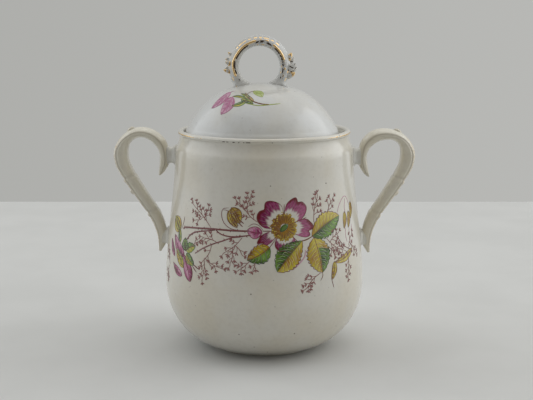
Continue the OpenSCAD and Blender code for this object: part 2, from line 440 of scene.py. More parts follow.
def lathe(name, profile, turns, material, centre_x=0.0):
    """Turns an open profile (radius, height) round the upright axis; ends at radius 0 are closed."""
    profile = np.array(profile, float)
    apart = np.hypot(*np.diff(profile, axis=0).T) > CLOSEST_POINTS
    profile = profile[np.concatenate([[True], apart])]
    angles = np.arange(turns) * 2 * math.pi / turns
    verts, faces, rows = [], [], []
    for r, z in profile:
        if r < 1e-6:
            rows.append([len(verts)] * turns)
            verts.append((centre_x, 0.0, z))
            continue
        rows.append(list(range(len(verts), len(verts) + turns)))
        verts += [(centre_x + r * math.sin(a), -r * math.cos(a), z) for a in angles]
    for low, high in zip(rows, rows[1:]):
        for k in range(turns):
            n = (k + 1) % turns
            unique = list(dict.fromkeys([low[k], low[n], high[n], high[k]]))
            if len(unique) > 2:
                faces.append(unique)
    return add_object(name, verts, faces, material)


def make_bowl():
    outside = round_off(FOOT + BOWL_SKIN)
    inside = round_off(BOWL_HOLLOW + [np.array(LIP_TOP)])
    bowl = lathe("bowl_glazed", np.vstack([outside, inside[::-1][1:]]), BOWL_TURNS, BODY_GLAZE)
    place(bowl, BASE, "body_glaze", "bowl")


def make_lid():
    profile = round_off(LID_SKIN + LID_UNDER + [(0, CROWN_Z - LID_T)])
    lid = lathe("lid_glazed", profile, LID_TURNS, LID_GLAZE, LID_X)
    place(lid, COVER, "lid_glaze", "lid")


make_bowl()
make_lid()

# ---------------------------------------------------------------- printed decoration

PRINT_RADIUS = 52.0
SUNK = -0.03
BARE_ROOT = 0.28
SPRIG_PEN = 0.34
LONG_TWIG = 3.3
ROSE = (10.2, 74.1)
ROSE_HEART = 6.8

BOWL_LINE = np.array(side(0) + SHOULDER[:3] + underside(0, 0, 60)[20:])
BOWL_LINE = BOWL_LINE[np.argsort(BOWL_LINE[:, 1])]


def read_bowl(height):
    """The bowl's radius at a height, and how fast it grows with height there."""
    below, here, above = np.interp((height - 0.5, height, height + 0.5), BOWL_LINE[:, 1], BOWL_LINE[:, 0])
    return here, above - below


def on_bowl(u, v, lift):
    """A point of the bowl's skin: u along the girth from the front, v the height, both in mm."""
    angle = u / PRINT_RADIUS
    r, slope = read_bowl(v)
    k = lift / math.hypot(1, slope)
    return ((r + k) * math.sin(angle), -(r + k) * math.cos(angle), v - k * slope)


DOME_LINE = np.array(DOME)
DOME_LENGTH = lengths_along(DOME_LINE)
LID_SPRAY_ANGLE = math.radians(-4)
LID_SPRAY_REACH = 17.5


def on_dome(u, v, lift):
    """A point of the lid's dome: u across and v up the slope, from the spray's middle."""
    reach = LID_SPRAY_REACH - v
    r = np.interp(reach, DOME_LENGTH, DOME_LINE[:, 0])
    z = np.interp(reach, DOME_LENGTH, DOME_LINE[:, 1])
    fall = (np.interp(reach + 0.5, DOME_LENGTH, DOME_LINE[:, 1])
            - np.interp(reach - 0.5, DOME_LENGTH, DOME_LINE[:, 1]))
    run = math.sqrt(max(0.0, 1 - fall * fall))
    angle = LID_SPRAY_ANGLE + u / max(r, 1.0)
    r, z = r - lift * fall, z + lift * run
    return (LID_X + r * math.sin(angle), -r * math.cos(angle), z)


def blend(a, b, t):
    """From colour a at t = 0 to colour b at t = 1."""
    return tuple(x + (y - x) * min(1.0, max(0.0, t)) for x, y in zip(a, b))


MAROON = (0.160, 0.030, 0.030)
RUSSET = (0.200, 0.042, 0.036)
CRIMSON = (0.140, 0.002, 0.008)
MAGENTA = (0.165, 0.004, 0.062)
PINK = (0.460, 0.110, 0.250)
OCHRE = (0.330, 0.160, 0.012)
BROWN = (0.150, 0.050, 0.008)
YELLOW = (0.490, 0.395, 0.018)
GREEN = (0.085, 0.175, 0.016)
DARK_GREEN = (0.014, 0.038, 0.006)
LEAF_LIGHT = (0.190, 0.350, 0.055)
LIME = (0.350, 0.430, 0.060)
TOE_SHADOW = (0.120, 0.105, 0.090)
FOLIAGE = {  # base, light and dark tone of each name
    "green": (GREEN, LEAF_LIGHT, DARK_GREEN),
    "gold": (YELLOW, (0.570, 0.480, 0.080), OCHRE),
    "ochre": (blend(YELLOW, OCHRE, 0.6), YELLOW, BROWN),
    "lime": (LIME, YELLOW, GREEN),
    "pink": (PINK, (0.600, 0.340, 0.450), MAGENTA),
    "magenta": (MAGENTA, PINK, CRIMSON),
    "blush": ((0.500, 0.190, 0.330), (0.600, 0.360, 0.470), (0.360, 0.080, 0.200)),
    "pale": ((0.400, 0.470, 0.170), (0.460, 0.520, 0.240), (0.300, 0.380, 0.090)),
}


class Print:
    """One coat of decoration: thin closed enamel patches and lines on a curved surface."""

    def __init__(self, chart):
        self.chart = chart
        self.verts, self.faces, self.tints = [], [], []

    def slab(self, rows, lift, tints):
        """A closed thin patch from a grid of (u, v) points, with one tint for each point."""
        rows = np.array(rows, float)
        n, m = rows.shape[:2]
        start = len(self.verts)
        for height in (lift, SUNK):
            for row, row_tints in zip(rows, tints):
                self.verts += [self.chart(u, v, height) for u, v in row]
                self.tints += row_tints

        def top(i, j):
            return start + i * m + j

        def low(i, j):
            return top(i, j) + n * m

        for i in range(n - 1):
            for j in range(m - 1):
                self.faces.append([top(i, j), top(i, j + 1), top(i + 1, j + 1), top(i + 1, j)])
                self.faces.append([low(i, j), low(i + 1, j), low(i + 1, j + 1), low(i, j + 1)])
        edge = ([(0, j) for j in range(m)] + [(i, m - 1) for i in range(1, n)]
                + [(n - 1, j) for j in range(m - 2, -1, -1)] + [(i, 0) for i in range(n - 2, 0, -1)])
        for here, after in zip(edge, edge[1:] + edge[:1]):
            self.faces.append([top(*here), low(*here), low(*after), top(*after)])

    def patch(self, steps, columns, lift, point_and_tint):
        """A slab whose points and tints come from a function of the step and the column."""
        grid = [[point_and_tint(i, k) for k in range(columns + 1)] for i in range(steps + 1)]
        points, tints = ([[pair[which] for pair in row] for row in grid] for which in (0, 1))
        self.slab(points, lift, tints)

    def line(self, points, width, tint, lift=0.085, taper=0.35, alpha=1.0, steps=3):
        """A pen line through the points, thinner towards its ends."""
        if len(points) == 2:
            first, last = np.array(points, float)
            points, steps = [first, (first + last) / 2, last], 2
        p = spline(points, steps)
        d = np.gradient(p, axis=0)
        d /= np.maximum(np.hypot(d[:, 0], d[:, 1]), 1e-6)[:, None]
        t = np.linspace(0, 1, len(p))
        half = width / 2 * (taper + (1 - taper) * np.sin(math.pi * t) ** 0.5)
        across = np.stack([-d[:, 1], d[:, 0]], 1) * half[:, None]
        self.slab(np.stack([p - across, p + across], 1), lift, [[(*tint, alpha)] * 2] * len(p))

    def build(self, name, body, slot, material):
        obj = add_object(name, self.verts, self.faces, material)
        paint(obj, "tint", self.tints)
        return place(obj, body, slot)


def polar(centre, r, angle):
    return (centre[0] + r * math.cos(angle), centre[1] + r * math.sin(angle))


def streaks(a, seed):
    """Uneven brush strokes across a petal or leaf, from -1 to 1."""
    return 0.6 * math.sin(23 * a + seed) + 0.4 * math.sin(61 * a + 2.3 * seed)


def petal(coat, centre, direction, spread, length, root, seed, brim_at, pale, gap):
    """A rose petal: white at its root, magenta further out, and a crimson brim with a fine outline.

    It fans out round centre from direction - spread to direction + spread, in degrees. The brim is
    deepest at brim_at, from -1 to 1 across, pale mixes in pink, and gap is the share that the colour
    stops short of the outline, on the side of -1."""
    columns, steps = 30, 18
    notch_at = 0.22 * math.sin(5.1 * seed)

    def reach(a):
        shape = math.cos(a * math.pi / 2 * 0.97) ** 0.26
        notch = 0.12 * math.exp(-((a - notch_at) / 0.15) ** 2)
        return length * shape * (1 - notch + 0.022 * math.sin(8 * a + seed))

    def point(a, t):
        return polar(centre, root + (reach(a) - root) * t, math.radians(direction + a * spread))

    def coloured(i, k):
        t, a = i / steps, -1 + 2 * k / columns
        stroke = streaks(a, seed)
        alpha = ease(t, BARE_ROOT + 0.10 * stroke, BARE_ROOT + 0.20 + 0.08 * stroke)
        if gap:
            alpha *= ease(a + 0.05 * stroke, -1 + 0.5 * gap, -1 + gap)
        deep = bell(a, brim_at, 0.75)
        brim = ease(t + 0.05 * streaks(a, seed + 1), 0.93 - 0.22 * deep, 1.0 - 0.10 * deep)
        mixed = pale + 0.40 * streaks(1.7 * a + 0.4 * t, seed + 4) - 0.40 * deep
        tone = blend(MAGENTA, PINK, mixed)
        return point(a, t), (*blend(tone, CRIMSON, brim * (0.45 + 0.55 * deep)), alpha)

    coat.patch(steps, columns, 0.04, coloured)
    coat.line([point(-1 + 2 * k / 28, 1.0) for k in range(29)], 0.34, CRIMSON, lift=0.075, steps=2)
    for a in (-0.98, 0.98):
        coat.line([point(a, t) for t in (0.0, 0.35, 0.7, 1.0)], 0.26, MAROON, lift=0.075)
    for k in range(8):
        a = -0.76 + 1.52 * k / 7
        near, far = BARE_ROOT + 0.1, 0.90 - 0.12 * abs(math.sin(3 * a + seed))
        coat.line([point(a, t) for t in (near, (near + far) / 2, far)], 0.20, MAGENTA, lift=0.07, alpha=0.8)


def stamens(coat, centre, radius, seed):
    """The rose's heart: an ochre disc with dark strokes and yellow tips round a green eye."""
    rng = random.Random(seed)
    rings, turns, strokes = 7, 60, 44

    def coloured(i, k):
        t, angle = i / rings, 2 * math.pi * k / turns
        scallop = 1 + 0.07 * t * math.sin(13 * angle) + 0.04 * t * math.sin(29 * angle)
        light = 0.5 + 0.5 * math.cos(angle + 0.5)
        tone = blend(OCHRE, BROWN, 0.55 + 0.45 * math.sin(17 * angle + 5 * t) - 0.6 * light)
        place_at = polar(centre, radius * (0.25 + 0.75 * t) * scallop, angle)
        return place_at, (*blend(tone, YELLOW, 0.55 * light * t), 1.0)

    coat.patch(rings, turns, 0.055, coloured)
    for k in range(strokes):
        angle = 2 * math.pi * k / strokes + rng.uniform(-0.06, 0.06)
        near, far = radius * rng.uniform(0.32, 0.62), radius * rng.uniform(0.84, 1.10)
        end = polar(centre, far, angle + rng.uniform(-0.08, 0.08))
        coat.line([polar(centre, near, angle), end], 0.30, BROWN, lift=0.085)
        u, v = polar(centre, far * rng.uniform(0.8, 1.04), angle + 0.07)
        gold = blend(YELLOW, OCHRE, 0.6 * rng.random())
        coat.line([(u - 0.35, v - 0.1), (u + 0.35, v + 0.15)], 0.62, gold, lift=0.09)

    def eye(i, k):
        t, a = i / 2, 2 * math.pi * k / 20
        x, y = radius * 0.40 * t * math.cos(a), radius * 0.21 * t * math.sin(a)
        turned = (centre[0] + 0.77 * x - 0.64 * y, centre[1] + 0.64 * x + 0.77 * y - 0.3)
        return turned, (*(GREEN if i < 2 else DARK_GREEN), 1.0)

    coat.patch(2, 20, 0.07, eye)


def rose(coat, centre, petals, heart, seed):
    """An open wild rose: each petal is direction, spread, length, deepest brim, paleness and gap."""
    for k, (direction, spread, length, *look) in enumerate(petals):
        petal(coat, centre, direction, spread, length, heart * 0.9, seed + 1.7 * k, *look)
    stamens(coat, centre, heart, seed)


def blade(coat, root, tip, half_width, bend, left, right, teeth=0, seed=0.0, veins=0, outline=MAROON,
          belly=0.8, left_from=0.0):
    """A leaf from root to tip, each half in the tones of its FOLIAGE name.

    belly moves its widest place tipwards; the left half takes its own name only beyond left_from."""
    root, tip = np.array(root, float), np.array(tip, float)
    length = math.hypot(*(tip - root))
    along = (tip - root) / length
    across = np.array([-along[1], along[0]])
    late = left_from > 0

    def spine(t):
        return root + along * length * t + across * bend * math.sin(math.pi * t)

    def half(t):
        saw = (t * teeth) % 1.0 if teeth else 0.5
        return half_width * math.sin(math.pi * min(1.0, t ** belly)) ** 0.72 * (1 + 0.20 * (0.5 - saw))

    def off_spine(t, share):
        return spine(t) + across * share * half(t)

    steps, columns = 44, 12

    def coloured(i, k):
        t, a = i / steps, -1 + 2 * k / columns
        own_left = a > 0.12 * late and t > left_from + 0.30 * late * max(0.0, a - 0.5)
        base, light, dark = FOLIAGE[left if own_left else right]
        stroke = streaks(0.55 * (t - 0.35 * abs(a)), seed + (0 if a > 0 else 3))
        patch = math.sin(5 * t + 2.5 * abs(a) + seed)
        tone = blend(base, light, 0.75 * patch + 0.35 * stroke)
        return off_spine(t, a), (*blend(tone, dark, -0.60 * patch + 0.55 * stroke), 1.0)

    coat.patch(steps, columns, 0.06, coloured)
    for side_sign, name in ((1, left), (-1, right)):
        pen = FOLIAGE[name][2] if name in ("green", "lime") else outline
        rim = [off_spine(t, side_sign) for t in np.linspace(0, 1, 3 * max(teeth, 4) + 1)]
        coat.line(rim, 0.30, pen, lift=0.10, steps=2)
        for k in range(2 * veins):
            t = 0.10 + 0.74 * k / max(1, 2 * veins - 1)
            start, far = (0.0, 0.86) if k % 2 else (0.22, 0.80 - 0.25 * abs(math.sin(2.1 * k + seed)))
            vein = [off_spine(t + 0.03, side_sign * start), off_spine(t + 0.07, side_sign * 0.46),
                    off_spine(min(1.0, t + 0.15), side_sign * far)]
            shade = name if side_sign < 0 or t > left_from else right
            pen = FOLIAGE[shade][2 if k % 2 else 1]
            coat.line(vein, 0.36 if k % 2 else 0.30, pen, lift=0.10, alpha=0.8)
    coat.line([spine(t) for t in np.linspace(-0.03, 0.97, 8)], 0.34, outline, lift=0.105)


def heading(angle):
    return np.array([math.cos(angle), math.sin(angle)])


def sprig(coat, root, tip, bend, twigs, seed, reach):
    """A feathery sprig: a bent stem whose side twigs carry leaflets in pairs and end in a fan."""
    rng = random.Random(seed)
    root, tip = np.array(root, float), np.array(tip, float)
    along = tip - root
    course = math.atan2(along[1], along[0])
    across = np.array([-along[1], along[0]]) / math.hypot(*along)
    stem = [root + along * t + across * bend * math.sin(math.pi * t) for t in np.linspace(0, 1, 7)]
    coat.line(stem, SPRIG_PEN, RUSSET, taper=0.6)
    fine = spline(stem, 6)

    def leaflet(at, angle, long):
        way = heading(angle)
        coat.line([at + 0.1 * way, at + long * way], 0.60, RUSSET, taper=0.3, alpha=0.92)

    for k in range(twigs):
        t = 0.30 + 0.70 * k / max(1, twigs - 1)
        at = fine[int(t * (len(fine) - 1))]
        turn = (1 if k % 2 else -1) * rng.uniform(0.55, 0.85)
        angle = course + (turn if k < twigs - 1 else rng.uniform(-0.15, 0.15))
        long = 1.3 * reach * (1.0 - 0.35 * t) * rng.uniform(0.8, 1.05)
        bow = 0.30 * (1 if rng.random() < 0.5 else -1)
        middle = at + 0.55 * long * heading(angle)
        end = middle + 0.45 * long * heading(angle + bow)
        coat.line([at, middle, end], SPRIG_PEN * 0.8, RUSSET, taper=0.7)
        for pair_at, base in ((middle, angle), (end, angle + bow)):
            for side_sign in (-1, 1):
                turned = base + side_sign * rng.uniform(0.60, 0.90)
                if pair_at is end or long > LONG_TWIG:
                    leaflet(pair_at, turned, rng.uniform(1.4, 2.0))
        leaflet(end, angle + bow, rng.uniform(1.3, 1.8))


def thorny_stem(coat, points, width, thorns):
    """A stem with small thorns on alternate sides."""
    coat.line(points, width, MAROON, taper=0.75, lift=0.09)
    line = spline(points, 10)
    for k in range(thorns):
        i = int((k + 0.6) / thorns * (len(line) - 2))
        d = line[i + 1] - line[i]
        d /= math.hypot(*d)
        out = np.array([-d[1], d[0]]) * (1 if k % 2 else -1)
        coat.line([line[i], line[i] + out * 0.9 + d * 0.5], 0.42, MAROON, taper=0.2)


def closed_bud(coat, root, tip, half_width, names, seed):
    """A folded bud made of a few long strokes side by side."""
    root, tip = np.array(root, float), np.array(tip, float)
    along = (tip - root) / math.hypot(*(tip - root))
    across = np.array([-along[1], along[0]])
    n = len(names)
    for k, name in enumerate(names):
        shift = (k - (n - 1) / 2) * half_width * 1.5 / n
        near = root + across * shift * 0.75
        far = tip + across * shift * 0.55 - along * abs(shift) * 0.5
        wide = half_width * 1.15 / n + 0.25
        blade(coat, near, far, wide, 0.45 * shift, name, name, seed=seed + k, outline=BROWN)


def bowl_spray():
    """A wild rose spray across the bowl's front, with a second rose round on the left."""
    coat = Print(on_bowl)

    # stems first, so that flowers and leaves lie over them
    for points, width, thorns in (
            ([(-50, 69.2), (-47.9, 70.3), (-38, 71.3), (-27.5, 72), (-16, 72.1), (-8, 72.2)], 0.95, 11),
            ([(-45.8, 64.3), (-43.6, 66.8), (-40, 68.8), (-35.9, 69.9), (-26.6, 71.6)], 0.75, 7),
            ([(-26.6, 72.0), (-22.9, 69.8), (-17.5, 69.0), (-11.7, 69.5), (-7.0, 70.2)], 0.65, 5),
            ([(-12, 69.2), (-16.7, 68.5), (-21.6, 66.6), (-27, 64.6), (-33.4, 61.6), (-38.7, 58.2)],
             0.68, 7)):
        thorny_stem(coat, points, width, thorns)
    coat.line([(19.4, 66.6), (22.4, 67.2), (25.8, 68.6)], 0.60, BROWN)
    coat.line([(25.8, 68.6), (27.0, 67.4)], 0.55, BROWN)

    # feathery sprigs round the stems: root, tip, bend, twigs, seed and reach
    for numbers in (
            ((-29.3, 72.6), (-41.6, 82.0), -0.8, 6, 11, 4.4), ((-33.4, 75.6), (-31.6, 81.4), 1.0, 4, 12, 2.8),
            ((-35.4, 76.6), (-39.4, 75.4), 0.4, 3, 13, 2.2), ((-3.4, 76.8), (-9.6, 82.2), 0.5, 4, 16, 3.6),
            ((-9.0, 81.6), (-7.2, 89.4), 0.8, 5, 14, 3.0), ((-9.8, 82.4), (-14.4, 86.6), -0.4, 4, 15, 2.4),
            ((-28.2, 64.0), (-32.6, 55.6), 1.0, 3, 17, 2.4), ((-32.4, 56.6), (-33.0, 46.2), 0.7, 6, 34, 3.2),
            ((-32, 56.8), (-22.6, 52.8), -0.7, 5, 18, 2.8), ((-25, 65.4), (-33.2, 66.8), -0.6, 5, 19, 3.2),
            ((-11.4, 68.8), (-20.4, 60.9), 0.8, 5, 20, 3.0), ((-16.4, 64.0), (-17.2, 55.6), 0.7, 5, 21, 2.8),
            ((-15.4, 64.8), (-11.4, 60.4), 0.7, 3, 35, 2.4), ((-7.0, 57.6), (-12.6, 52.6), 0.4, 5, 22, 2.4),
            ((-4.6, 56.8), (-5.4, 53.4), 0.3, 3, 36, 1.8), ((27.0, 75.6), (30.2, 88.0), 0.8, 7, 23, 3.6),
            ((36.0, 78.6), (40.6, 85.6), 0.6, 5, 24, 2.8), ((29.6, 49.4), (21.8, 42.8), -0.9, 7, 25, 3.6),
            ((34.4, 66.6), (47.4, 58.4), -1.2, 8, 26, 3.8), ((36.4, 64.0), (42.4, 67.6), 0.6, 5, 27, 2.8),
            ((36.0, 61.6), (40.0, 56.6), 0.6, 5, 37, 2.8), ((50.6, 55.6), (49.6, 44.6), 0.7, 6, 28, 2.6),
            ((53.0, 61.6), (59.6, 55.0), 0.5, 5, 29, 2.8), ((52.0, 60.0), (56.0, 65.0), 0.5, 4, 38, 2.4)):
        sprig(coat, *numbers)

    # the ochre bud on its looped stem, left of the main rose
    looped = [(-12.4, 72.4), (-17.6, 73.0), (-21.5, 75.6), (-23.2, 79.6), (-22.4, 82.6), (-19.2, 83.4)]
    coat.line(looped, 0.34, MAROON)
    coat.line([(-22.4, 82.2), (-20.2, 82.0), (-18.2, 80.8)], 0.28, MAROON)
    blade(coat, (-17.6, 83.6), (-12.8, 75.6), 2.6, 1.0, "ochre", "ochre", seed=2, veins=3, outline=BROWN)
    blade(coat, (-17.8, 83.2), (-14.2, 73.6), 2.5, -1.2, "ochre", "gold", seed=4, veins=4, outline=BROWN)
    blade(coat, (-19.4, 81.8), (-14.8, 74.2), 1.5, -0.8, "ochre", "ochre", seed=5, outline=BROWN)
    for near, far in (((-18.6, 81.4), (-13.6, 74.6)), ((-17.2, 82.0), (-12.9, 75.6)),
                      ((-16.0, 82.2), (-12.8, 77.2))):
        coat.line([near, far], 0.55, BROWN, lift=0.11)
    coat.line([(-13.2, 77.8), (-10.6, 75.8)], 0.55, MAROON)
    coat.line([(-13.4, 76.2), (-11.2, 74.2)], 0.50, MAROON)

    # the main rose, its folded petal and the leaves below it
    blade(coat, (2.8, 64.2), (-8.6, 57.6), 4.5, 0.7, "green", "ochre", teeth=6, seed=5, veins=4)
    rose(coat, ROSE, [(-86, 40, 13.2, -0.8, 0.60, 0.0), (138, 47, 15.8, 0.4, 0.42, 0.30),
                      (52, 34, 16.6, 0.35, 0.84, 0.0), (-5, 27, 16.2, 0.35, 0.92, 0.0),
                      (-148, 17, 15.6, -0.3, 0.46, 0.0)], ROSE_HEART, seed=2.0)
    blade(coat, (-1.0, 71.4), (-8.9, 72.6), 3.0, 0.5, "pink", "pink", seed=9, veins=2,
          outline=CRIMSON, belly=0.9)
    coat.line([(-0.6, 72.6), (-2.6, 75.0), (-5.6, 75.9), (-8.4, 74.4)], 0.26, MAROON)
    coat.line([(-0.8, 72.3), (3.4, 72.4)], 0.50, MAROON)
    for direction, far in ((-127, 13.6), (-47, 11.4), (19, 13.4), (88, 11.6), (171, 12.4)):
        a = math.radians(direction)
        coat.line([polar(ROSE, ROSE_HEART, a), polar(ROSE, far, a)], 0.34, MAROON)
    blade(coat, (19.8, 66.8), (6.4, 51.8), 6.0, -0.6, "gold", "green", teeth=10, seed=1, veins=7, belly=1.15)
    blade(coat, (26.8, 67.8), (30.8, 49.4), 6.7, 0.4, "green", "gold", teeth=10, seed=7, veins=7,
          belly=0.95, left_from=0.30)
    blade(coat, (25.4, 68.6), (45.2, 76.9), 6.0, 1.0, "gold", "green", teeth=10, seed=3, veins=7, belly=0.95)
    coat.line([(14.6, 52.6), (20.4, 58.0), (21.4, 62.0)], 0.7, PINK, alpha=0.6)
    coat.line([(30.6, 50), (30.8, 47.6), (29.4, 45.4)], 0.34, BROWN)

    # the willow leaf and the drooping bud on the right
    blade(coat, (55.4, 58.0), (39.2, 53.4), 1.9, 1.3, "gold", "ochre", seed=4, veins=3, outline=BROWN)
    blade(coat, (39.2, 54.0), (36.6, 44.6), 1.7, 0.7, "gold", "ochre", seed=6, veins=3, outline=BROWN)
    coat.line([(36.6, 45), (37.9, 40.4)], 0.36, MAROON)
    coat.line([(43.9, 78.6), (46.4, 82.4), (50.4, 85.6), (53.6, 85.4), (56.8, 80.6)], 0.26, PINK)
    coat.line([(52.4, 84.8), (51.0, 80.4), (51.6, 76.8)], 0.24, PINK)
    for k, (u, v) in enumerate(((49.0, 69.4), (53.4, 69.2), (57.0, 73.6))):
        blade(coat, (u + 1.6, v + 8.6), (u, v), 1.7, 0.6, "ochre", "gold", seed=k, outline=BROWN)
    for u, v in ((50.4, 69.4), (54.2, 69.0), (57.8, 70.4)):
        coat.line([(u, v), (u - 0.6, v - 3.6), (u + 0.5, v - 7.2)], 0.22, PINK)
    coat.line([(41.9, 69.0), (43.6, 64.8), (47.0, 61.2), (51.6, 58.6), (55.0, 58.0)], 0.42, MAROON)
    coat.line([(51.6, 58.8), (56.4, 61.8)], 0.34, MAROON)

    # the left rose with its bud and sepals
    blade(coat, (-52.0, 62.0), (-53.2, 68.8), 1.6, 0.4, "green", "lime", seed=8, veins=2)
    closed_bud(coat, (-53.6, 67.8), (-60.8, 74.4), 4.2, ["gold", "lime", "gold"], 2)
    coat.line([(-51.6, 69.0), (-50.2, 72.4), (-49.6, 75.6)], 0.32, MAROON)
    for root, tip, wide, bend, left, right, seed, veins, outline, belly in (
            ((-57.2, 53.6), (-63.0, 61.8), 1.7, 0.4, "pink", "magenta", 20, 2, MAGENTA, 0.8),
            ((-58.2, 49.9), (-48.2, 44.6), 2.0, -0.6, "pink", "magenta", 21, 2, CRIMSON, 1.3),
            ((-47.2, 54.9), (-59.0, 64.8), 2.9, 0.9, "magenta", "pink", 22, 3, MAGENTA, 0.8),
            ((-48.6, 57.0), (-41.2, 42.8), 3.2, 0.8, "magenta", "pink", 23, 3, CRIMSON, 1.5)):
        blade(coat, root, tip, wide, bend, left, right, seed=seed, veins=veins, outline=outline, belly=belly)
    blade(coat, (-47.0, 49.2), (-55.6, 58.2), 2.3, 0.2, "gold", "lime", seed=24, veins=3, outline=BROWN)
    for u, v in ((-49.6, 50.6), (-51.4, 53.6), (-53.4, 55.4), (-50.0, 53.2), (-52.6, 52.8)):
        coat.line([(u - 0.9, v + 0.3), (u + 0.7, v - 0.3)], 0.50, BROWN, lift=0.11)
    for root, tip, wide, bend, right, seed in (((-46.4, 58.2), (-47.2, 65.0), 2.4, 0.4, "green", 9),
                                               ((-46.0, 58.6), (-38.8, 61.8), 2.5, 0.5, "lime", 10),
                                               ((-45.4, 57.0), (-39.0, 51.8), 2.3, -0.6, "lime", 11)):
        blade(coat, root, tip, wide, bend, "green", right, teeth=4, seed=seed, veins=3)
    coat.line([(-39.4, 52.2), (-35.6, 50.4)], 0.60, MAROON)
    coat.line([(-40.4, 51.6), (-37.0, 48.6)], 0.50, MAROON)
    for numbers in (((-41.6, 61.0), (-37.0, 64.4), 0.4, 4, 31, 2.4),
                    ((-63.0, 48.0), (-67.6, 54.6), 0.6, 5, 32, 2.6),
                    ((-64.6, 47.0), (-66.0, 40.6), -0.5, 5, 33, 2.6)):
        sprig(coat, *numbers)
    return coat.build("rose_spray", BASE, "body_glaze", BODY_PRINT)


def lid_spray():
    """A small spray of fallen petals and a stem on the lid's dome, and a painted shadow line at the ring's
    right foot.
    """
    coat = Print(on_dome)
    blade(coat, (-17.4, -3.4), (-28.6, -17.4), 2.6, 0.8, "blush", "blush", seed=1, veins=4, outline=PINK)
    blade(coat, (-14.6, -7.6), (-20.4, -20.6), 3.2, 0.8, "blush", "blush", seed=2, veins=4, outline=PINK)
    coat.line([(-19.0, -4.6), (-14.6, -1.4)], 0.30, PINK)
    for root, tip, wide, bend, right, seed, veins in (
            ((-6.0, -9.8), (-14.6, -14.6), 1.3, 0.9, "green", 3, 0),
            ((-6.4, -8.8), (-15.0, -7.2), 1.0, -1.2, "green", 4, 0),
            ((-4.8, -9.0), (-10.0, -4.0), 1.2, -0.8, "green", 5, 0),
            ((-2.6, -10.6), (-7.6, -3.2), 1.7, 1.0, "ochre", 6, 2),
            ((-9.4, -9.4), (-2.4, -12.4), 1.5, 0.5, "green", 7, 2)):
        blade(coat, root, tip, wide, bend, "lime", right, seed=seed, veins=veins, outline=BROWN)
    coat.line([(-5.4, -7.2), (-3.2, -10.2), (1.6, -12.4), (5.6, -12.9)], 0.80, BROWN, taper=0.5)
    coat.line([(-7.6, -11.8), (0.0, -13.6), (6.0, -13.0), (11.6, -12.4)], 0.60, LIME, taper=0.3)
    blade(coat, (-2.8, -0.6), (1.9, -6.8), 2.2, 0.5, "pale", "pale", seed=8, outline=LIME)
    coat.line([(-6.4, -4.2), (-4.2, -1.4), (-1.6, -0.9)], 0.36, BROWN)
    # painted shadow line on the dome at the toe of the ring's right leg
    coat.line([(12.8, 6.2), (15.4, 4.6), (18.4, 2.4)], 0.55, TOE_SHADOW, alpha=0.75)
    return coat.build("lid_spray", COVER, "lid_glaze", LID_PRINT)


bowl_spray()
lid_spray()

# ---------------------------------------------------------------- handles

STRAP_W = 12.0
RIGHT_DROP = 0.8
LEFT_CURL = [
    (56.4, 93.5, 1.8, 0.3), (55.2, 96.2, 3.8, 0.5), (53.9, 100.4, 5.4, 0.75), (54.1, 105.2, 5.2, 0.85),
    (55.7, 110.1, 6.3, 0.9), (59.9, 114.2, 6.2, 0.95), (65, 116.1, 5.8, 1), (70.2, 115.4, 5.6, 1),
    (74.8, 111.7, 6.2, 1), (77.2, 106, 7.8, 1)]
RIGHT_CURL = [
    (56.2, 93.5, 1.7, 0.3), (54.8, 96, 3.4, 0.5), (53.4, 100.2, 4.8, 0.75), (53.3, 105.2, 4.6, 0.85),
    (54.8, 110.3, 6.3, 0.9), (59, 114.4, 7, 0.95), (64.5, 115.9, 6.4, 1), (70.3, 115.2, 5.6, 1),
    (75.1, 111.8, 6.1, 1), (77.3, 106, 7.75, 1)]
STRAP_REST = [
    (76.6, 99.8, 7.6, 1), (73.9, 94.2, 7, 1), (70.2, 88, 6.9, 0.98), (64.9, 79.9, 6.5, 0.92),
    (60.1, 72.7, 6.3, 0.86), (57.2, 66.4, 6.0, 0.8), (55.8, 60.6, 5.3, 0.7), (55.8, 56, 4.2, 0.55),
    (56.9, 51.6, 1.7, 0.3)]
KNUCKLES = ((72.6, 92.3), (60.1, 73.8))
THORNS = ((71.4, 117.0, 2.7, 1.2), (68.2, 85.6, 2.2, 1.3))
CAP_STEPS = (0.45, 0.8, 0.97)
SECTION_POINTS = 72
COURSE_STEPS = 9
THORN_W = 1.4


def with_round_tips(fine):
    """The course and its directions, with a few shrinking stations beyond each end."""
    d = np.gradient(fine[:, :2], axis=0)
    d /= np.hypot(d[:, 0], d[:, 1])[:, None]

    def cap(station, way):
        x, z, thick, wide = station
        stations = []
        for t in CAP_STEPS:
            shrink = math.sqrt(1 - t * t)
            stations.append((x + way[0] * t * thick / 2, z + way[1] * t * thick / 2,
                             thick * shrink, wide * shrink))
        return stations

    head = cap(fine[0], -d[0])[::-1]
    tail = cap(fine[-1], d[-1])
    caps = len(CAP_STEPS)
    return (np.vstack([head, fine, tail]),
            np.vstack([np.repeat(d[:1], caps, 0), d, np.repeat(d[-1:], caps, 0)]))


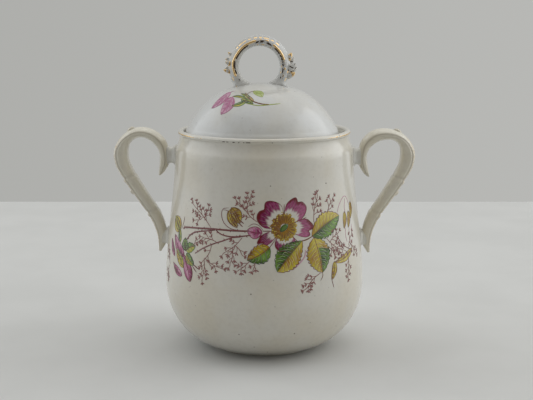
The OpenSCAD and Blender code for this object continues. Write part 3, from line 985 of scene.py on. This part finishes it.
def strap_mesh(curl):
    """The hook-shaped strap: vertices, faces and the edge paint, on the +X side.

    Its section is lens-shaped with a front ridge in the curl, and flatter with a groove below it."""
    fine, d = with_round_tips(spline(curl + STRAP_REST, COURSE_STEPS))
    arc = lengths_along(fine[:, :2])
    knuckle_arcs = [arc[np.argmin(np.hypot(fine[:, 0] - x, fine[:, 1] - z))] for x, z in KNUCKLES]
    bulge_arc = arc[COURSE_STEPS * (len(curl) - 1) + len(CAP_STEPS)]
    verts, values = [], []
    for (x, z, thick, wide), (dx, dz), so_far in zip(fine, d, arc):
        curled = 1 - ease(so_far, bulge_arc - 14, bulge_arc + 2)
        for k in range(SECTION_POINTS):
            a = 2 * math.pi * k / SECTION_POINTS
            c, s = math.cos(a), math.sin(a)
            skewed = so_far + 0.5 * c
            dents = [0.45 * bell(skewed, at - 0.5, 0.6) for at in knuckle_arcs]
            lip = sum(0.50 * bell(skewed, at + 1.3, 1.1) - dent for at, dent in zip(knuckle_arcs, dents))
            groove = bell(c, 0.40 - 0.22 * curled, 0.09) * min(1.0, thick / 4)
            across = signed_power(s, 0.62 + 0.50 * curled) * (1 - 0.08 * (c - 0.2) ** 2)
            across *= wide * STRAP_W / 2 + 0.7 * lip - (0.42 - 0.25 * curled) * groove
            out = signed_power(c, 0.72 + 0.20 * curled) * (thick / 2 + lip * (1 if c > 0 else 0.35))
            verts.append((x - dz * out, across, z + dx * out))
            # rubbed is the worn tan line; crease_shade is painted shade in the groove and the knuckle dents
            rubbed = ease(c, 0.52, 0.66) * ease(abs(s), 0.2, 0.6) * (1 - ease(curled, 0.3, 0.8))
            crease_shade = max((0.7 + 0.5 * curled) * groove, *dents)
            values.append((rubbed, min(1.0, crease_shade), 0, 1))
    faces = tube_sides(0, len(fine), SECTION_POINTS)
    for row, sign in ((0, -1), (len(fine) - 1, 1)):
        x, z = fine[row, :2] + sign * 0.02 * d[row]
        centre = len(verts)
        verts.append((x, 0.0, z))
        values.append((0.6, 0, 0, 1))
        start = row * SECTION_POINTS
        for k in range(SECTION_POINTS):
            here, after = start + k, start + (k + 1) % SECTION_POINTS
            faces.append([after, here, centre] if sign < 0 else [here, after, centre])
    for x, z, length, height in THORNS:
        i = int(np.argmin(np.hypot(fine[:, 0] - x, fine[:, 1] - z)))
        add_thorn(verts, faces, values, fine[i], d[i], length, height)
    return verts, faces, values


def add_thorn(verts, faces, values, here, direction, length, height):
    """A small thorn bud lying along the strap's outer face."""
    x, z, thick, _ = here
    dx, dz = direction
    rings, turns = 9, 14
    start = len(verts)
    for i in range(rings + 1):
        t = -1 + 2 * i / rings
        size = max(0.02, 1 - t * t) ** 0.6
        for k in range(turns):
            a = 2 * math.pi * k / turns
            c = math.cos(a)
            along = t * length - 0.35 * height * max(0.0, c) * size
            out = thick / 2 - 0.5 + size * (0.5 + height) * c * (1.0 if c > 0 else 0.4)
            verts.append((x + dx * along - dz * out, THORN_W * size * math.sin(a), z + dz * along + dx * out))
            # the second value is painted shade, strongest low on the thorn where it meets the strap
            values.append((0.25 * max(0.0, c), 0.5 if out < thick / 2 + 0.2 else 0.1, 0, 1))
    faces += closed_tube(start, rings + 1, turns)


def make_handles():
    for name, sign, drop, curl in (("left_handle", -1, 0.0, LEFT_CURL),
                                   ("right_handle", 1, RIGHT_DROP, RIGHT_CURL)):
        verts, faces, values = strap_mesh(curl)
        placed = [(sign * x, y, z - drop) for x, y, z in verts]
        turned = faces if sign < 0 else [f[::-1] for f in faces]
        handle = add_object(name + "_strap", placed, turned, HANDLE_GLAZE)
        paint(handle, "edge", values)
        place(handle, BASE, "handle_glaze", name)


STUB_W = 8.0
STUBS = {"upper_stub": (103.9, 9.6, 52.8), "lower_stub": (59.5, 8.4, 55.6)}  # middle, height, outer end


def make_stub(name, sign, z, height, outer_x):
    """A short waisted stub between the bowl's side and the strap, with painted shade at both joints."""
    wall_x = read_bowl(z)[0]
    root_x = wall_x - 1.6
    rings, turns = 16, 40
    verts, values = [], []
    for i in range(rings + 1):
        t = i / rings
        x = root_x + (outer_x - root_x) * t
        flare = 1.3 * bell(x, wall_x - 0.2, 1.1) + 0.7 * bell(x, outer_x - 0.6, 1.2)
        for k in range(turns):
            a = 2 * math.pi * k / turns
            round_y = signed_power(math.cos(a), 0.62) * (STUB_W / 2 - 0.5 + flare)
            round_z = signed_power(math.sin(a), 0.62) * (height / 2 - 0.5 + flare)
            verts.append((sign * x, round_y, z + round_z))
            # the second value is painted shade at the joints with the strap and the bowl's wall
            values.append((0, 0.9 * bell(t, 1.0, 0.16) + 0.3 * bell(x, wall_x, 0.6), 0, 1))
    faces = closed_tube(0, rings + 1, turns)
    if sign < 0:
        faces = [face[::-1] for face in faces]
    stub = add_object(name + "_waisted", verts, faces, STUB_GLAZE)
    paint(stub, "edge", values)
    return place(stub, BASE, "body_glaze", name)


STUB_GLAZE = handle_glaze("stub_glaze", STUB_WHITE)
make_handles()
for side_name, side_sign, side_drop in (("left", -1, 0.0), ("right", 1, RIGHT_DROP)):
    for stub_name, (stub_z, stub_h, stub_x) in STUBS.items():
        make_stub(f"{side_name}_{stub_name}", side_sign, stub_z - side_drop, stub_h, stub_x)

# ---------------------------------------------------------------- ring knob and its leaves

RING_LOW, RING_HIGH = (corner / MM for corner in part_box("ring_knob"))
RING_OUTER = (RING_HIGH.x - RING_LOW.x) / 2
RING_X = (RING_HIGH.x + RING_LOW.x) / 2
RING_Z = RING_HIGH.z - RING_OUTER
RING_T = 5.7
RING_D = RING_HIGH.y - RING_LOW.y
RING_R = RING_OUTER - RING_T / 2
RING_POINTS = 96
FOOT_ANGLE = 44
LEG_ANGLE = 26
FOOT_STEEPEST = 0.975
LEG_SLOPE = 22
GILT_LINES = ((150, 51), (36, 21))  # middle and half length, in degrees round the ring
GILT_STROKES = ((140, 3), (126, 9), (110, 3), (98, 4), (88, 3), (76, 6), (64, 4), (51, 4), (205, 4),
                (222, 4), (-10, 4), (-26, 4))
# the dark dashes are sunk a little and painted with shade under the gilt ridge
DARK_DASHES = ((137, 22), (174, 9), (190, 5), (210, 3), (93, 3.5), (82, 4), (64, 6), (42, 6), (33, 2.5),
               (24, 3.5), (16, 3), (9, 2.2), (2, 3), (-12, 5.5), (-29, 3))
DASH_LEAN = 9
LEAF_ROOT_R = RING_OUTER - 1.8
WHITE_TIP = (0.95, 0.34, 0.1)
ALL_GILT = (0.90, 0.90, 0.1)
STROKED = (0.10, 0.20, 0.95)


def mark(angle, place, half):
    """1 within half degrees of the place on the ring, with soft ends."""
    return ease(half - abs(angle - place), -1.3, 1.3)


def marks(angle, places):
    return max(mark(angle, place, half) for place, half in places)


def ring_point(angle, k):
    """Point k of the band's section at one place of the ring: outwards, depth, gilt and darkness.

    A gilt ridge follows the left side and the right shoulder, over sunk dark dashes and beads; their darkness
    is painted shade under the ridge."""
    legs = max(0.0, min(1.0, (-14 - min(angle, 180 - angle)) / LEG_SLOPE))
    line_at = -0.04 + 0.17 * bell(angle, 172, 15) + 0.24 * bell(angle, 80, 18)
    bead = 0.13 + 0.05 * bell(angle, 80, 25) + 0.04 * bell(angle, 8, 25)
    lined = marks(angle, GILT_LINES)
    strokes = marks(angle, GILT_STROKES)
    a = 2 * math.pi * k / RING_POINTS
    c, s = math.cos(a), math.sin(a)
    side = abs(s) ** 0.5
    out = signed_power(c, 0.8) * RING_T / 2 * (1 + 0.06 * legs * legs)
    bevel = 1 - 0.42 * (1 - legs) * ease(c, -0.05, 1.0)
    deep = signed_power(s, 0.55) * RING_D / 2 * (1 + 0.10 * legs * legs) * bevel
    on_line = bell(c, line_at, 0.13) * side
    under_line = bell(c, line_at - 0.26, bead) * side
    dashed = marks(angle + DASH_LEAN * (c - line_at), DARK_DASHES)
    between = (1 - dashed) * (1 - legs) * (1 - lined)
    deep += math.copysign((0.50 * lined + 0.40 * between) * on_line - 0.55 * dashed * under_line, s)
    out += 0.25 * strokes * bell(c, 0.93, 0.16)
    gilt = 0.12 * (1 - legs) + 1.25 * lined * on_line + 0.72 * between * on_line
    gilt += 0.72 * strokes * bell(c, 0.52, 0.12) + 0.60 * between * bell(c, -0.62, 0.14)
    # painted shade along the dark dashes, just inside the gilt ridge
    dark = 1.6 * dashed * under_line * (1 - 0.4 * legs)
    return out, deep, gilt, dark


def foot_angle(out):
    """How far below the ring's middle, in degrees, a point of its section goes down into the crown."""
    return math.degrees(math.asin(min(FOOT_STEEPEST, (RING_Z - RING_LOW.z) / (RING_R + out))))


def make_ring():
    """The ring that lifts the lid, its two legs flaring into the crown, which hides their level ends."""
    rows = np.linspace(-FOOT_ANGLE, 180 + FOOT_ANGLE, 361)
    count = RING_POINTS
    feet = [foot_angle(ring_point(0.0, k)[0]) for k in range(count)]
    verts, values = [], []
    for i, row in enumerate(rows):
        past = -min(row, 180 - row) - LEG_ANGLE
        for k in range(count):
            angle = row
            if past > 0:
                stretched = LEG_ANGLE + past * (feet[k] - LEG_ANGLE) / (FOOT_ANGLE - LEG_ANGLE)
                angle = -stretched if row < 90 else 180 + stretched
            out, deep, gilt, dark = ring_point(angle, k)
            a = math.radians(angle)
            r = RING_R + out
            x, z = RING_X + r * math.cos(a), RING_Z + r * math.sin(a)
            crown = np.interp(math.hypot(x - LID_X, deep), DOME_LINE[:, 0], DOME_LINE[:, 1])
            flare = bell(max(0.0, z - crown), 0.0, 1.6)
            r += 0.26 * flare * out
            deep *= 1 + 0.16 * flare
            x, z = RING_X + r * math.cos(a), RING_Z + r * math.sin(a)
            level = i == 0 or i == len(rows) - 1
            verts.append((x, deep, RING_LOW.z if level else max(z, RING_LOW.z)))
            values.append((max(0.0, gilt), dark, 0, 1))
    ring = add_object("ring_band", verts, closed_tube(0, len(rows), count, flip=True), GILT)
    paint(ring, "gilt", values)
    return place(ring, COVER, "gilt_glaze", "ring_knob")


def add_leaf(verts, faces, values, angle, y, lean, length, width, curl, look, seed):
    """A pointed leaf standing out from the ring, curling at its tip.

    look is how gilt its root and its tip are, and how dark the strokes across it are; each root is also
    darkened with painted shade where it meets the ring."""
    rng = random.Random(seed)
    root_gilt, tip_gilt, strokes = look
    rings, turns = 30, 28
    x, z = polar((RING_X, RING_Z), LEAF_ROOT_R, math.radians(angle))
    start = len(verts)
    for i in range(rings + 1):
        t = i / rings
        turn = math.radians(angle + lean) + math.radians(curl) * t * t
        x += length / rings * math.cos(turn)
        z += length / rings * math.sin(turn)
        size = max(0.05, math.sin(math.pi * min(0.97, 0.16 + 0.84 * t ** 0.9))) ** 0.6
        side_x, side_z = -math.sin(turn), math.cos(turn)
        for k in range(turns):
            a = 2 * math.pi * k / turns
            c = math.cos(a)
            across = width / 2 * size * c
            deep = 0.42 * width * size * math.sin(a) * (1 - 0.30 * bell(c, 0.0, 0.3))
            verts.append((x + side_x * across, y + deep, z + side_z * across))
            gilt = root_gilt * (1 - ease(t, 0.25, 0.6)) + tip_gilt * ease(t, 0.45, 0.85) + 0.30 * abs(c) ** 2
            stroke = strokes * ease(math.sin(13 * t + 2.2 * c + seed), 0.35, 0.8) * (1 - abs(c) ** 3)
            # the second value takes the darker of the painted shade at the root and the strokes
            values.append((gilt + rng.uniform(-0.10, 0.10), max(0.8 * (1 - t) ** 4, stroke), 0, 1))
    faces += closed_tube(start, rings + 1, turns)


def make_sprig(name, leaves, seed):
    verts, faces, values = [], [], []
    for k, leaf in enumerate(leaves):
        add_leaf(verts, faces, values, *leaf, seed + k)
    leaves_object = add_object(name + "_leaves", verts, faces, GILT)
    paint(leaves_object, "gilt", values)
    return place(leaves_object, COVER, "gilt_glaze", name)


make_ring()
make_sprig("left_leaf_sprig", [
    (162, -0.8, -36, 3.9, 1.8, 20, (0.9, 0.55, 0.3)), (168, 1.8, -6, 3.8, 2.3, 26, WHITE_TIP),
    (175, -1.9, -8, 3.6, 2.4, -24, WHITE_TIP), (183, 0.8, 2, 3.9, 2.4, 22, WHITE_TIP),
    (192, -1.4, -22, 4.8, 2.0, -20, ALL_GILT)], 40)
make_sprig("right_leaf_sprig", [
    (11, -0.9, 42, 5.0, 2.9, 22, ALL_GILT), (3, 1.4, 34, 5.0, 3.5, 30, STROKED),
    (-6, -1.9, 32, 5.4, 3.6, 26, STROKED), (-15, 1.2, 36, 6.4, 3.7, 34, STROKED),
    (-23, -1.5, 42, 5.8, 3.2, 20, (0.25, 0.85, 0.2))], 50)

# ---------------------------------------------------------------- rim gilding

LIP_LINE = np.array(LIP_OUT + [np.array(LIP_TOP)])
LIP_LENGTH = lengths_along(LIP_LINE)
GILT_BAND = (1.35, 2.05, False)  # from and to in mm up the lip, and whether it is the dark dashes
# the dark dashes: painted reflection of the dark room in the gilt
DARK_REFLECTION_BAND = (0.80, 1.22, True)


def on_lip(u, v, lift):
    """A point of the rim's outer lip: u degrees round from the front, v mm up its curve."""
    r = np.interp(v, LIP_LENGTH, LIP_LINE[:, 0]) + lift
    z = np.interp(v, LIP_LENGTH, LIP_LINE[:, 1]) + 0.5 * max(0.0, lift)
    a = math.radians(u)
    return (r * math.sin(a), -r * math.cos(a), z)


def make_rim_line():
    """The worn gilt line round the rim and, below it, dark dashes at the front, painted as the gilt's
    reflection of the dark room.
    """
    coat = Print(on_lip)
    rng = random.Random(7)
    turns = 360
    drift = [rng.uniform(-1, 1) for _ in range(turns)]
    for low, high, dashes in (GILT_BAND, DARK_REFLECTION_BAND):
        rows, tints = [], []
        for k in range(turns + 1):
            u = -180 + 360 * k / turns
            if dashes:
                # painted reflection: dark dashes, densest at the front
                darkness = ease(12 - abs(u + 17), -3, 4) * ease(drift[(7 * k) % turns], -0.70, 0.10)
                darkness = max(darkness, mark(u, 5, 0.6), 0.6 * mark(u, 14, 6) * drift[(5 * k) % turns])
                cover = 0.5 * darkness
            else:
                darkness = 0.1
                wear = 0.5 + 0.5 * math.sin(0.09 * u + 1.2) + 0.25 * drift[k % turns]
                # the gilt is thinned at the front, where the dark dashes below paint its reflection
                cover = (0.56 + 0.35 * wear) * (1 - 0.80 * bell(u, -5, 40))
            rows.append([(u, low), (u, (low + high) / 2), (u, high)])
            tints.append([(cover * share, darkness, 0, 1) for share in (0.5, 1.0, 0.5)])
        coat.slab(rows, 0.05, tints)
    line = add_object("rim_gilding", coat.verts, coat.faces, RIM_GILT)
    paint(line, "gilt", coat.tints)
    return place(line, BASE, "gilt_glaze")


RIM_GILT = worn_and_shaded_gilt("rim_gilt", BODY_WHITE)
make_rim_line()

# ---------------------------------------------------------------- table, backdrop and light

TABLE_HALF = 428.0
TABLE_ROUND = 30.0
TABLE_DROP = 260.0
TABLE_SQUARE = 14
ROOM_FRONT = (0.100, 0.090, 0.070)
ROOM_LEFT = (0.420, 0.422, 0.405)
ROOM_RIGHT = (0.480, 0.482, 0.465)
GLOW_LEFT = (0.41, 0.43, 0.46)
GLOW_RIGHT = (0.54, 0.56, 0.58)
GLOW_ABOVE = (0.28, 0.28, 0.28)
BLACK = (0.0, 0.0, 0.0)
LAMPS = (  # name, place, aim, width, height, power and colour
    ("left_window", (-1.25, 0.25, 0.60), (0, 0, 0.08), 1.6, 1.3, 4.2, (0.93, 0.97, 1.0)),
    ("right_window", (1.25, 0.10, 0.66), (0, 0, 0.08), 1.6, 1.3, 6.0, (0.98, 0.99, 1.0)),
    ("ceiling", (0.1, 0.10, 1.35), (0, 0, 0.05), 1.6, 1.4, 4.0, (0.98, 0.99, 1.0)))


def make_table():
    """A pale cloth-covered table top whose edges turn down softly."""
    rings = [(TABLE_HALF * share, 0.0) for share in (0.0, 0.3, 0.6, 0.8, 0.9)]
    rings += [(TABLE_HALF + TABLE_ROUND * math.sin(a), TABLE_ROUND * (math.cos(a) - 1))
              for a in np.radians([0, 15, 30, 45, 60, 75, 90])]
    rings += [(TABLE_HALF + TABLE_ROUND, -TABLE_DROP)]
    turns = 128
    verts = []
    for half, z in rings:
        for k in range(turns):
            a = 2 * math.pi * k / turns
            c, s = math.cos(a), math.sin(a)
            p = (abs(c) ** TABLE_SQUARE + abs(s) ** TABLE_SQUARE) ** (-1 / TABLE_SQUARE)
            verts.append((half * p * c, half * p * s, z))
    faces = [[0, turns + k, turns + (k + 1) % turns] for k in range(turns)]
    faces += tube_sides(turns, len(rings) - 1, turns, flip=True)
    table = add_object("table_cloth", verts, faces, FLOOR_CLOTH)


def soft_box(name, place_at, aim, size_x, size_y, power, colour):
    data = bpy.data.lights.new(name, "AREA")
    data.shape = "RECTANGLE"
    data.size = size_x
    data.size_y = size_y
    data.energy = power
    data.color = colour
    lamp = bpy.data.objects.new(name, data)
    lamp.location = place_at
    lamp.rotation_euler = (Vector(aim) - Vector(place_at)).to_track_quat("-Z", "Y").to_euler()
    lamp.visible_camera = False
    bpy.context.scene.collection.objects.link(lamp)


def make_world():
    """A pale room: darker and warmer in front of the object, lighter behind and above it."""
    world = bpy.data.worlds.new("room")
    bpy.context.scene.world = world
    m = Nodes(world, "Background", "Generated")
    x, y, z = m.separate(m.coords)
    room = m.mix(m.ramp(x, -0.35, 0.35), ROOM_LEFT, ROOM_RIGHT)
    room = m.mix(m.ramp(y, -0.45, 0.55), ROOM_FRONT, room)
    glows = [m.mix(m.ramp(axis, low, high), first, second) for axis, low, high, first, second in (
        (x, -0.90, -0.35, GLOW_LEFT, BLACK), (x, 0.35, 0.90, BLACK, GLOW_RIGHT),
        (z, 0.15, 0.80, BLACK, GLOW_ABOVE))]
    for glow in glows:
        room = m.mix(1.0, room, glow, "ADD")
    m.shade({"Color": room})


FLOOR_CLOTH = plain_floor("floor_cloth")
make_table()
make_world()
for lamp_values in LAMPS:
    soft_box(*lamp_values)
bpy.context.scene.view_settings.view_transform = "Standard"
